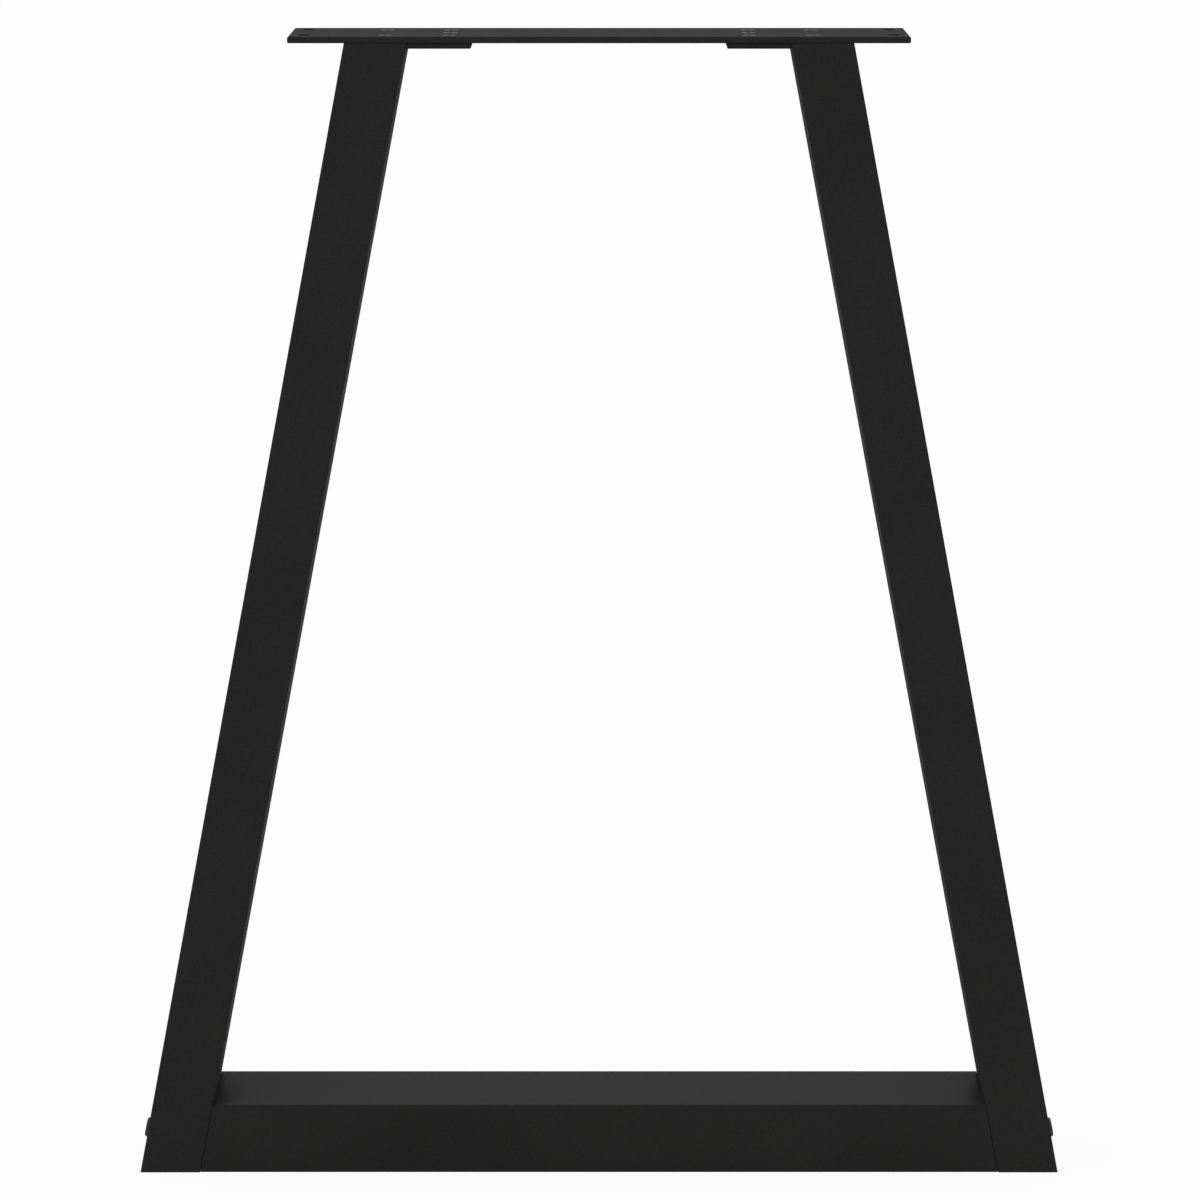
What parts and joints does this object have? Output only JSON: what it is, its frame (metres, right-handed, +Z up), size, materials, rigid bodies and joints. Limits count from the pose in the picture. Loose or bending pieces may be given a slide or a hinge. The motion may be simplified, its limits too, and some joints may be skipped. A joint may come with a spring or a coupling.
{
  "type": "dining table leg",
  "caption": "Black steel trapezoid leg frame for a dining table: leaning box-section legs, a floor beam between them and a flat top plate with screw holes.",
  "frame": {"origin": "on the floor, midway between the legs and midway front to back", "axes": "+X across the frame to the right-hand leg, +Y from front to back, +Z up to the table top"},
  "size_m": [0.592, 0.08, 0.73],
  "materials": {
    "black_powder_coat": "satin black powder coat with a very fine texture",
    "black_fasteners": "black zinc plated steel",
    "bare_steel": "plain mill finish, hidden in the tubes"
  },
  "bodies": {
    "root": {"top_plate": "black_powder_coat", "cross_beam": "black_powder_coat", "left_leg_tube": "black_powder_coat", "left_leg_tab": "black_powder_coat", "left_foot_plate": "black_powder_coat", "left_beam_end_plate": "black_powder_coat", "right_leg_tube": "black_powder_coat", "right_leg_tab": "black_powder_coat", "right_foot_plate": "black_powder_coat", "right_beam_end_plate": "black_powder_coat", "beam_bolts": "black_fasteners", "plate_screws": "black_fasteners", "weld_nuts": "bare_steel", "bolt_sleeves": "bare_steel"}
  },
  "joints": []
}
